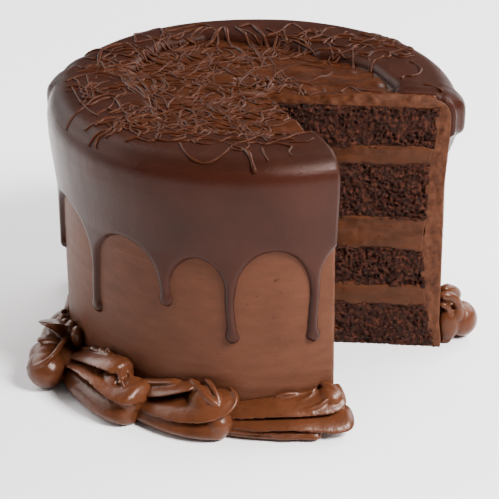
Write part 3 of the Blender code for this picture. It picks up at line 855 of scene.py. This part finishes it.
back_arcs = (
    ((9, 71), (14, 74), (18, 80), (21, 88), (24, 91), (27, 84), (31, 75), (36, 73), (40, 77),
     (44, 81), (48, 82)),
    ((40, 56), (42, 61), (46, 66), (51, 70), (56, 70), (60, 64), (65, 56), (72, 55)),
    ((29, 48), (32, 58), (33, 65), (36, 67), (40, 73), (43, 81)),
    ((18, 80), (19, 71), (20, 60), (18, 55)),
    ((56, 28), (56, 41), (56, 49), (59, 53), (62, 54), (66, 51), (69, 46)),
    ((64, 34), (66, 39), (69, 43), (74, 43), (77, 41), (80, 34), (82, 32), (86, 33), (90, 36)),
    ((65, 22), (67, 29), (70, 31), (73, 35)),
    ((80, 0), (82, 5), (86, 3), (90, 6), (92, 13), (91, 21), (87, 26)),
    ((91, -8), (95, -9), (98, -12), (101, -16)),
    ((43, 57), (44, 51), (45, 41)),
    ((-42, 63), (-35, 71), (-31, 81), (-27, 86), (-25, 81)),
    ((-53, 62), (-49, 68), (-44, 70), (-40, 75), (-35, 79)),
    ((-52, 53), (-44, 58), (-36, 64), (-27, 69)),
)
front_runs = (
    ((-42, -76), (-38, -77), (-34, -73), (-29, -73), (-25, -76)),
    ((-48, -58), (-41, -68), (-35, -72), (-27, -78), (-19, -80), (-9, -90), (-5, -93)),
    ((-27, -50), (-21, -58), (-16, -65)),
    ((7, -67), (11, -61), (14, -62), (17, -66), (20, -74), (22, -74)),
    ((18, -85), (23, -85), (27, -85), (30, -81)),
    ((-4, -87), (2, -85), (5, -89), (9, -86), (15, -88), (19, -91)),
    ((-37, -84), (-35, -93), (-32, -99), (-28, -102), (-24, -103.5), (-20, -103), (-16, -100),
     (-12, -92)),
    ((4, -91), (5, -99), (7, -104)),
    ((19, -91), (17, -96), (18.5, -100)),
)
thick_runs = (
    ((-91, -30), (-86, -34), (-84, -33), (-81, -27), (-78, -24), (-74, -23), (-71, -28), (-69, -37),
     (-66, -46), (-60, -50)),
    ((-74, -61), (-71, -64), (-68, -64), (-63, -64), (-58, -65), (-52, -64)),
    ((-69, 20), (-66, 8), (-63, -4), (-57, -16), (-54, -27), (-53, -38), (-51, -47)),
    ((-67, 17), (-61, 11), (-56, -1), (-54, -13)),
    ((-70, 1), (-66, -7), (-60, -16), (-56, -23)),
    ((-27, 65), (-22, 73), (-17, 85), (-15, 82), (-14, 72), (-10, 65), (-4, 52), (0, 44), (5, 39)),
    ((-10, 85), (-7, 80), (-3, 72), (1, 62), (5, 46)),
    ((-8, 84), (-3, 88), (0, 88), (3, 80), (6, 73), (9, 65)),
    ((-85, 21), (-85, 34), (-85, 47), (-83, 53), (-77, 58), (-72, 60)),
    ((-6, -92), (-3, -97), (-1.4, -103), (-0.5, -107), (0.6, -109)),
)
drizzle_finish, tree, shader = new_finish("drizzle_glaze", 0.36, 0.07)
drizzle_tone = noise_pattern(tree, 160.0, 3.0, 0.5)
thread_tones = ((0.3, (0.021, 0.0055, 0.0023)), (0.7, (0.042, 0.0120, 0.0048)))
tree.links.new(colour_ramp(tree, drizzle_tone, thread_tones), shader.inputs["Base Color"])
add_bumps(tree, shader, (noise_pattern(tree, 500.0, 2.0, 0.5), 0.3, 0.0005))

fine_threads = laid_threads(left_fan + middle_curls + front_runs, 0.00060)
fine_threads += laid_threads(back_arcs, 0.00075)
# Each throw has its count, middle, spread, reach, spread of headings, and least and most radius.
fine_throws = (
    (80, (-0.030, 0.0), (0.055, 0.066), 0.080, 0.9, 0.00045, 0.00075),
    (30, (-0.068, 0.0), (0.020, 0.056), 0.060, 1.4, 0.00045, 0.00080),
    (44, (-0.014, -0.044), (0.044, 0.028), 0.060, 1.0, 0.00040, 0.00072),
    (20, (-0.030, -0.070), (0.050, 0.014), 0.070, 0.4, 0.00040, 0.00072),
    (18, (-0.020, 0.062), (0.045, 0.018), 0.075, 0.7, 0.00045, 0.00080),
    (26, (0.020, 0.028), (0.048, 0.036), 0.045, 1.2, 0.00035, 0.00062),
    (16, (0.054, 0.060), (0.030, 0.024), 0.055, 1.4, 0.00050, 0.00080),
)
for throw in fine_throws:
    fine_threads += thrown_threads(*throw, step=0.0012)
thick_threads = laid_threads(thick_runs, 0.00105)
thick_threads += thrown_threads(10, (-0.035, 0.0), (0.050, 0.070), 0.070, 0.6, 0.0008, 0.0011, 0.0015)
fine = one_mesh("drizzle_fine", [tube(path, radii, 6) for path, radii in fine_threads], drizzle_finish)
thick = one_mesh("drizzle_thick", [tube(path, radii, 8) for path, radii in thick_threads], drizzle_finish)
for threads in (fine, thick):
    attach(threads, "root")
    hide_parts("glaze")


# Piped border
# Twelve shells of soft chocolate cream piped round the foot with a large open nozzle. Each is a
# stack of folds with thin lips over dark creases, ends in a rounded head with raised ridges
# where the nozzle lifted off, and its head covers the tail of the next shell.
border_pitch = 0.0006
coat_clearance = 0.0004
border_middle = 118.0
tail_overlap = 7.0


def around(bearing, out, up):
    """Point from its bearing in degrees, distance out from the wall and height, both in mm;
    no point lies inside the coat or under the floor."""
    turn = np.radians(bearing)
    z = np.maximum(up * 0.001, 0.0)
    r = np.maximum(body_radius + out * 0.001, coat_radius(z) + coat_clearance)
    return np.stack((r * np.sin(turn), -r * np.cos(turn), z), -1)


def spread(keys, count, passes=2):
    """Rows between the key rows, evenly shared out, then smoothed by the 1-2-1 rule."""
    keys = np.asarray(keys, float)
    at = np.linspace(0, len(keys) - 1, count)
    rows = np.stack([np.interp(at, np.arange(len(keys)), column) for column in keys.T], -1)
    for _ in range(passes * count // len(keys)):
        rows[1:-1] = (rows[:-2] + 2 * rows[1:-1] + rows[2:]) / 4
    return rows


def closed_loft(bearing, out, up):
    """Mesh of a loft: rows of one closed section each, with a face over each end."""
    points = around(np.broadcast_to(bearing, out.shape), out, up)
    return points.reshape(-1, 3), capped_faces(*out.shape)


def fold(keys):
    """Fold of cream from key rows (bearing, lip out, lip up, root out, root up, thickness, lip
    radius). Its section is a leaf from root to lip: half thickness = t/2 (1 - q^1.5) +
    radius * sqrt(1 - q^4), humped upwards; both ends are rounded off."""
    bearing, lip_out, lip_up, root_out, root_up, thick, edge = spread(keys, 46).T[..., None]
    share = np.linspace(0, 1, 46)[:, None]
    end = np.sqrt(np.clip(1 - np.clip((share - 0.86) / 0.15, 0, 1) ** 2, 0, 1))
    start = np.sqrt(np.clip(1 - np.clip((0.10 - share) / 0.115, 0, 1) ** 2, 0, 1))
    size = end * start
    q = np.concatenate((np.linspace(0, 1, 14), np.linspace(1, 0, 14)[1:]))[None, :]
    side = np.concatenate((np.ones(14), -np.ones(13)))[None, :]
    half = thick / 2 * (1 - q**1.5) + edge * np.sqrt(np.clip(1 - q**4, 0, 1))
    hump = 0.10 * np.hypot(lip_out - root_out, lip_up - root_up) * 4 * q * (1 - q)
    run_out, run_up = lip_out - root_out, lip_up - root_up
    length = np.hypot(run_out, run_up)
    across = half * side * size + hump * size
    out = root_out + run_out * q * size - run_up / length * across
    up = root_up + run_up * q * size + run_out / length * across
    return closed_loft(bearing, out, up)


def lump(bearing, out, up, along, wide, high, tilt=0.0):
    """Rounded lump: an ellipsoid with half lengths in mm along, out from and up the wall, leaned
    out by the tilt in degrees. Its length is measured 118 mm from the cake's axis."""
    row = np.linspace(0.04, math.pi - 0.04, 30)[:, None]
    ring = (np.arange(28) * math.tau / 28)[None, :]
    turn = np.degrees(-along * np.cos(row) / border_middle)
    across = wide * np.sin(row) * np.cos(ring)
    upright = high * np.sin(row) * np.sin(ring)
    lean = math.radians(tilt)
    leaned_out = out + across * math.cos(lean) - upright * math.sin(lean)
    leaned_up = up + across * math.sin(lean) + upright * math.cos(lean)
    return closed_loft(bearing + turn, leaned_out, leaned_up)


def core(keys):
    """Body behind the folds: ellipses along key rows (bearing, out, up, half width, half height)."""
    bearing, out, up, wide, high = spread(keys, 30).T[..., None]
    ring = (np.arange(24) * math.tau / 24)[None, :]
    return closed_loft(bearing, out + wide * np.cos(ring), up + high * np.sin(ring))


def ridge(keys, radius):
    """Raised edge: a round bead along key points (bearing, out, up), drawn in at its ends."""
    path = spread(keys, 26)
    points = around(path[:, 0], path[:, 1], path[:, 2])
    radii = 0.001 * radius * np.sqrt(np.clip(1 - np.linspace(-0.97, 0.97, 26) ** 4, 0, 1))
    return tube(points, radii, 10)


# The forms that the photo shows. Bearings are in degrees from the front, and the other numbers
# are mm out from the wall, up from the floor, and across the cream itself.
shell_forms = {
    "ball": (
        lump(-62.5, 23.0, 10.2, 10.5, 10.8, 10.4),
        lump(-67.0, 19.0, 11.0, 11.0, 10.0, 9.0, 10.0),
        core(((-90, 4, 7, 6, 8), (-84, 6, 9, 8, 10), (-76, 9, 9, 11, 11), (-66, 10, 8, 10, 9),
              (-60, 10, 7, 8, 7))),
        fold(((-86, 9, 12, 2, 8, 6, 0.9), (-79, 15, 20, 3, 14, 6, 0.8), (-73, 21, 28, 5, 18, 6, 0.7),
              (-68.5, 20, 30, 5, 20, 6, 0.8), (-67.5, 15, 30, 3, 20, 6, 0.8),
              (-68.5, 9, 29, 2, 18, 5, 0.9))),
        fold(((-78, 14, 12, 6, 8, 5, 0.6), (-71, 22, 20, 8, 12, 5, 0.5),
              (-66.5, 25, 22.5, 9, 14, 5, 0.5))),
        ridge(((-68, 5, 21), (-65.0, 10, 22), (-61.5, 15.5, 22.8), (-59, 21.5, 22), (-59, 26.5, 19.5),
               (-60.5, 31, 15.5), (-64, 33.5, 12)), 1.5),
        lump(-64.5, 2.6, 23.0, 4.6, 3.6, 6.5),
        lump(-69.5, 2.5, 22.5, 5.0, 4.0, 6.0),
        lump(-80.0, 4.0, 17.5, 4.5, 3.6, 5.0),
        lump(-76.0, 3.5, 20.5, 3.2, 3.0, 3.0),
        lump(-83.5, 3.0, 20.5, 1.8, 2.2, 1.8),
    ),
    "stack": (
        core(((-65, 6, 5, 6, 6), (-55, 7, 8, 7, 8.5), (-45, 7, 9.5, 8, 11), (-38, 8, 11, 9, 12.5),
              (-32.5, 9, 9, 8, 9))),
        fold(((-66, 12, 4, 5, 4, 6, 2.5), (-58, 17.5, 5, 6, 5, 7, 4), (-53, 20, 5.5, 8, 5, 7, 4.6),
              (-48, 21.5, 5.5, 9, 5, 7, 4.8), (-43, 23.5, 5.5, 9, 5, 7, 5), (-38, 25, 5.8, 10, 5, 8, 5),
              (-34, 23.5, 5.5, 10, 5, 8, 5), (-31.5, 18, 5, 8, 5, 8, 5))),
        fold(((-66, 12, 8.2, 3, 6, 3, 0.7), (-59, 16, 13.5, 3, 8, 3, 0.7),
              (-54, 18.5, 18, 3, 11, 3, 0.7),
              (-49.3, 20.5, 20.8, 3, 13, 3.5, 0.7), (-43.3, 22.5, 20.2, 2, 14, 4, 0.7),
              (-39.4, 24, 18.0, 2, 14, 5, 0.8),
              (-36, 24.5, 16.8, 2, 14, 7, 1.2), (-32.6, 23.5, 16.4, 2, 14, 9, 2.4),
              (-29.8, 20, 15.6, 2, 13, 10, 3.2))),
        fold(((-68, 8, 9, -3, 9, 3, 0.5), (-58, 11.5, 17.2, -3, 16, 3.5, 0.5),
              (-51.1, 14, 22.6, -3, 21, 4, 0.5),
              (-45, 15.5, 25.8, -3, 24.5, 4, 0.6), (-40.6, 15.5, 26.2, -3, 25.5, 4.5, 0.8),
              (-37.6, 13.5, 25, -3, 24, 5, 1.1))),
        fold(((-57, 9.5, 14.2, 0, 13.5, 2.4, 0.4), (-50, 12.5, 19.6, 0, 18.5, 2.6, 0.4),
              (-44, 13.5, 21.6, 0, 21, 3, 0.5))),
        fold(((-64, 3, 17, -3, 13, 3, 0.5), (-54.6, 4.2, 24.4, -3, 20, 3.5, 0.5),
              (-47.4, 4.5, 28.6, -3, 23, 4, 0.6),
              (-42.4, 5, 28.0, -3, 22, 4, 0.9))),
        lump(-35.0, 9.0, 13.0, 9.0, 11.0, 9.4, -24.0),
        fold(((-44, 13, 20.5, 0, 22, 4, 0.7), (-40.5, 17.5, 19.5, 0, 22, 6, 0.8),
              (-37.5, 19, 17.5, 0, 20, 7, 1.2))),
        ridge(((-45, 4.5, 28), (-41.6, 8, 28.2), (-38.6, 11, 26.6), (-36.4, 13.5, 24),
               (-35, 15.5, 21.5)), 1.0),
        ridge(((-42.5, 2, 27.0), (-38.5, 4.5, 24.5), (-35.2, 6.5, 21.5), (-32.6, 9, 17.5)), 0.9),
        lump(-50.5, 2.0, 26.5, 1.8, 1.8, 1.4),
        lump(-47.0, 2.2, 29.4, 1.5, 1.6, 1.3),
        lump(-55.0, 2.0, 23.8, 2.2, 1.6, 1.3),
    ),
    "hook": (
        core(((-41, 5, 5, 6, 5), (-30, 5, 6, 7, 7), (-20, 6, 8, 7.5, 9), (-12, 6, 9, 8, 11),
              (-7.5, 5, 9, 6, 9))),
        fold(((-41, 9, 3.5, 3, 4, 5, 2.5), (-32.9, 14, 4, 4, 4, 5, 3.4), (-24.2, 18, 4.2, 5, 4, 6, 3.8),
              (-19, 20, 4.3, 6, 4, 6, 3.9), (-13.6, 20.4, 4.4, 6, 4, 6, 4),
              (-9, 18.5, 4.4, 6, 4, 6, 4.2), (-7, 14, 4.5, 5, 4, 6, 4.2))),
        fold(((-41, 8, 7, 0, 7, 4, 0.8), (-30.7, 13.5, 9.2, 0, 9, 5, 0.9),
              (-24.2, 17.4, 9.9, 0, 11, 6, 1.0),
              (-18.5, 19.4, 10.6, 0, 13, 7, 1.1), (-12, 19.8, 12.4, 0, 18, 9, 1.1),
              (-8.6, 17.8, 15.6, 0, 18, 9, 1.2),
              (-5.6, 13, 19, 0, 16, 9, 1.2), (-4.6, 6, 22, 0, 14, 9, 1.2))),
        fold(((-41, 6, 11, -4, 12, 4, 0.7), (-32.3, 9.5, 14, -4, 15, 4, 0.7),
              (-25.5, 11.5, 18.7, -4, 18, 4, 0.7),
              (-19.6, 12.3, 24.3, -4, 21, 4, 0.8), (-15.5, 9, 26.6, -4, 22, 5, 1.0))),
        fold(((-40, 3, 17, -4, 13, 4, 1.0), (-31, 4.5, 20.5, -4, 16, 5, 1.2),
              (-23.5, 5.5, 25.4, -4, 19, 5, 1.2), (-20, 3, 23.5, -4, 19, 5, 1.2))),
        lump(-14.2, 5.5, 18.5, 8.5, 8.5, 7.0, -25.0),
        lump(-9.5, 10.5, 8.0, 7.0, 8.0, 7.5),
        ridge(((-19, 1, 27), (-16.3, 5, 26.5), (-13.9, 9, 24.3), (-11.5, 12, 22), (-9.3, 13, 20)), 1.8),
        ridge(((-14.5, 1, 28.0), (-12.3, 4, 27.2), (-10.3, 8, 23.8), (-9.3, 12, 20)), 1.6),
        ridge(((-7.6, 1, 25.0), (-5.7, 5, 23.8), (-5.0, 9, 21), (-6.0, 13, 18.4),
               (-8.4, 17, 15.6)), 1.2),
    ),
    "wide": (
        core(((-14, 4, 3.5, 6, 4), (0, 4, 5, 7, 6), (10, 5, 6, 8, 7), (18, 5, 7, 8, 8.5),
              (23.5, 5, 7, 6, 8))),
        fold(((-14, 9, 2.5, 3, 3, 4, 1.8), (-5, 13.2, 2.4, 4, 3, 4, 1.8),
              (3.4, 15.5, 2.2, 5, 3, 4, 1.8), (6.9, 18, 2.2, 5, 3, 4, 1.9),
              (10.5, 18, 2.2, 5, 3, 4, 1.8), (13.8, 21, 2.2, 6, 3, 4, 1.9),
              (17.5, 20, 2, 6, 3, 4, 1.8))),
        fold(((-12, 11, 4.4, 3, 4, 2, 0.5), (-1, 15.5, 4.8, 4, 5, 2, 0.5), (6, 17, 4.6, 4, 5, 2, 0.5),
              (13, 18.5, 3.6, 5, 5, 2, 0.6), (16, 18, 3, 5, 5, 2, 0.6))),
        fold(((-14, 8, 6, 1, 6, 3, 0.7), (-5.4, 13.4, 6.9, 1, 7, 3.5, 0.8),
              (2.1, 17.2, 7.1, 1, 8, 3.5, 0.8), (8, 18.2, 7.8, 1, 8, 4, 0.8),
              (14, 19.8, 6.4, 3, 8, 4.5, 0.9), (18.5, 22.3, 4.3, 5, 7, 5, 1.3),
              (22.5, 22.8, 4.6, 6, 7, 5, 1.7), (25.8, 20.5, 6.8, 6, 8, 5, 1.8))),
        fold(((-14, 6, 9.5, -4, 9, 4, 0.7), (-6.8, 10.3, 10.4, -4, 12, 5, 0.7),
              (1, 12.3, 12.6, -4, 14, 6, 0.7), (8, 13.7, 13.4, -4, 15, 6, 0.8),
              (14, 15, 12.9, -4, 15, 7, 0.8), (19.7, 16.3, 12.8, -4, 15, 8, 0.9),
              (23.2, 15, 15.2, -4, 15, 9, 1.2), (25.2, 9, 18.5, -4, 15, 9, 1.5))),
        lump(20.8, 5.0, 16.5, 8.0, 8.0, 6.6, -15.0),
        ridge(((5.5, 9.5, 14.2), (9, 8, 16.2), (12, 6.5, 17.6), (15.2, 4.5, 19.2),
               (17, 1.5, 20.8)), 1.1),
        ridge(((9.6, 11, 14.6), (13.2, 12, 15.4), (16.6, 11.6, 17), (19.0, 10, 19.4)), 1.1),
        ridge(((5, 2, 19.5), (8.6, 3, 21.4), (11.6, 1.5, 19.6), (14.6, 2, 19.6), (17.4, 2, 22)), 1.1),
        ridge(((18.4, 1, 23.4), (20.6, 4, 23.6), (22, 8, 21.2), (22.6, 11, 18.6)), 1.7),
        ridge(((-9, 4, 14.2), (0, 6, 15.8), (8, 7.5, 16)), 0.9),
    ),
    "corner": (
        core(((81, 3, 8, 5, 9), (85, 5, 10, 7, 11), (90, 6, 9, 8, 10), (96, 6, 7, 7, 8))),
        lump(87.0, 12.0, 10.4, 10.0, 9.6, 10.4, 8.0),
        lump(90.0, 4.5, 20.0, 9.0, 6.5, 8.5),
        ridge(((80.4, -2, 30), (80.8, 2, 31), (81.6, 6, 30), (82.6, 9.4, 26.5), (83.2, 10.6, 21.5),
               (84, 11.5, 16)), 2.7),
        ridge(((80.6, -2, 24), (80.9, 2, 25), (81.5, 4.6, 23), (82.2, 5.6, 19), (83, 6, 14)), 1.9),
        ridge(((84, 0, 31), (86, 5, 30), (88, 9, 26), (90, 10, 20)), 3.2),
        lump(82.4, 4.5, 11.0, 5.0, 6.2, 10.0),
        lump(84.0, 9.5, 17.0, 5.5, 4.4, 5.5),
    ),
}
form_spans = {"stack": (-66, -31), "hook": (-41, -5)}
front_shells = {12: "wide", 11: "hook", 10: "stack", 9: "ball", 1: "corner"}
back_run = (94.3, 266.0)
side_bearings = (92.5, 93.5, 105, 110, 115, 121, 239, 245, 250, 255, 262, 267, 270)
side_shares = (1.0, 0.25, 0.32, 0.50, 0.72, 1.0, 1.0, 0.72, 0.50, 0.32, 0.25, 0.25, 1.0)
shell_seed = 4


def placed(parts, form, tail, head, out_scale, up_scale):
    """The parts of a form moved to another stretch of the wall: bearings are mapped from the
    form's span onto the new one, and distances out and up are scaled, also by the share that
    the border keeps at that bearing, because it is thin at the two sides."""
    first, last = form_spans[form]
    moved = []
    for points, faces in parts:
        out = (np.hypot(points[:, 0], points[:, 1]) - body_radius) * 1000 * out_scale
        turned = tail + (bearing_of(points) - first) / (last - first) * (head - tail)
        share = np.interp(turned, side_bearings, side_shares)
        up = points[:, 2] * 1000 * up_scale * (0.5 + 0.5 * share)
        moved.append((around(turned, out * share, up), faces))
    return moved


def piped_shell(name, parts, pitch, material):
    """Parts joined into one skin by a voxel remesh, then smoothed; their creases stay."""
    shell = one_mesh(name, parts, material)
    remesh = shell.modifiers.new("Join", "REMESH")
    remesh.mode = "VOXEL"
    remesh.voxel_size = pitch
    remesh.use_smooth_shade = True
    smooth = shell.modifiers.new("Soften", "SMOOTH")
    smooth.factor = 0.5
    smooth.iterations = 4
    return shell


border_finish, tree, shader = new_finish("piped_cream", 0.30, 0.24)
border_tone = noise_pattern(tree, 70.0, 4.0, 0.55)
border_tones = ((0.3, (0.048, 0.0135, 0.0050)), (0.72, (0.082, 0.0250, 0.0098)))
tree.links.new(colour_ramp(tree, border_tone, border_tones), shader.inputs["Base Color"])
shader.inputs["Subsurface Weight"].default_value = 0.18
shader.inputs["Subsurface Radius"].default_value = (0.004, 0.0014, 0.0007)
shader.inputs["Subsurface Scale"].default_value = 0.5
soft_lumps = noise_pattern(tree, 130.0, 3.0, 0.5)
fine_grain = noise_pattern(tree, 900.0, 2.0, 0.5)
add_bumps(tree, shader, (soft_lumps, 0.45, 0.0014), (fine_grain, 0.22, 0.0004))

lay = np.random.default_rng(shell_seed)
back_step = (back_run[1] - back_run[0]) / 7
for number in range(1, 13):
    if number in front_shells:
        parts = shell_forms[front_shells[number]]
    else:
        form = ("stack", "hook")[number % 2]
        tail = back_run[0] + (number - 2) * back_step - tail_overlap * lay.uniform(0.7, 1.2)
        head = back_run[0] + (number - 1) * back_step + lay.uniform(-1.5, 1.5)
        out_scale = {"stack": 0.97, "hook": 1.22}[form] * lay.uniform(0.94, 1.04)
        parts = placed(shell_forms[form], form, tail, head, out_scale, lay.uniform(0.84, 0.98))
    pitch = border_pitch if number in front_shells else 1.25 * border_pitch
    piece = piped_shell(f"piped_shell_{number:02d}", parts, pitch, border_finish)
    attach(piece, "root")
    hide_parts(f"shell_{number:02d}")


# Floor, lights and camera
# A plain pale floor, soft studio lights, and the camera at the photograph's viewing angle.
floor_finish, tree, shader = new_finish("pale_floor", 0.6, 0.2)
shader.inputs["Base Color"].default_value = (0.93, 0.905, 0.90, 1.0)
floor_half = 6.0
corners = np.array([(-1, -1, 0), (1, -1, 0), (1, 1, 0), (-1, 1, 0)]) * floor_half
floor = add_mesh("floor", corners + np.array((0, 0, -0.0002)), [[0, 1, 2, 3]], floor_finish)

world = bpy.data.worlds.new("studio")
bpy.context.scene.world = world
world.use_nodes = True
world.node_tree.nodes["Background"].inputs["Color"].default_value = (1.0, 0.985, 0.97, 1.0)
world.node_tree.nodes["Background"].inputs["Strength"].default_value = 0.16


def softbox(name, place, aim, size, power):
    """Square area light at a place, turned to face the aim."""
    light = bpy.data.lights.new(name, "AREA")
    light.size = size
    light.energy = power
    lamp = bpy.data.objects.new(name, light)
    lamp.location = place
    lamp.rotation_euler = (Vector(aim) - Vector(place)).to_track_quat("-Z", "Y").to_euler()
    bpy.context.scene.collection.objects.link(lamp)


softbox("key_light", (0.95, -0.70, 1.2), (0.0, 0.0, 0.1), 0.5, 92.0)
softbox("left_light", (-1.5, 0.05, 0.75), (0.0, 0.0, 0.08), 1.1, 10.0)
softbox("back_left_light", (-1.3, 1.1, 1.2), (0.0, 0.0, 0.1), 1.6, 52.0)
softbox("back_right_light", (1.3, 1.1, 1.2), (0.0, 0.0, 0.1), 1.6, 80.0)

camera_data = bpy.data.cameras.new("camera")
camera_data.lens = 140.16
camera_data.sensor_width = 36.0
camera = bpy.data.objects.new("camera", camera_data)
elevation = math.radians(26.26)
roll = math.radians(-0.57)
forward = Vector((0.0, math.cos(elevation), -math.sin(elevation)))
right = Vector((1.0, 0.0, 0.0))
up = right.cross(forward)
turned_right = right * math.cos(roll) + up * math.sin(roll)
turned_up = up * math.cos(roll) - right * math.sin(roll)
aim = Vector((-0.0026, 0.0, 0.0522))
pose = Matrix((turned_right, turned_up, -forward)).transposed().to_4x4()
pose.translation = aim - forward * 1.091
camera.matrix_world = pose
bpy.context.scene.collection.objects.link(camera)
bpy.context.scene.camera = camera
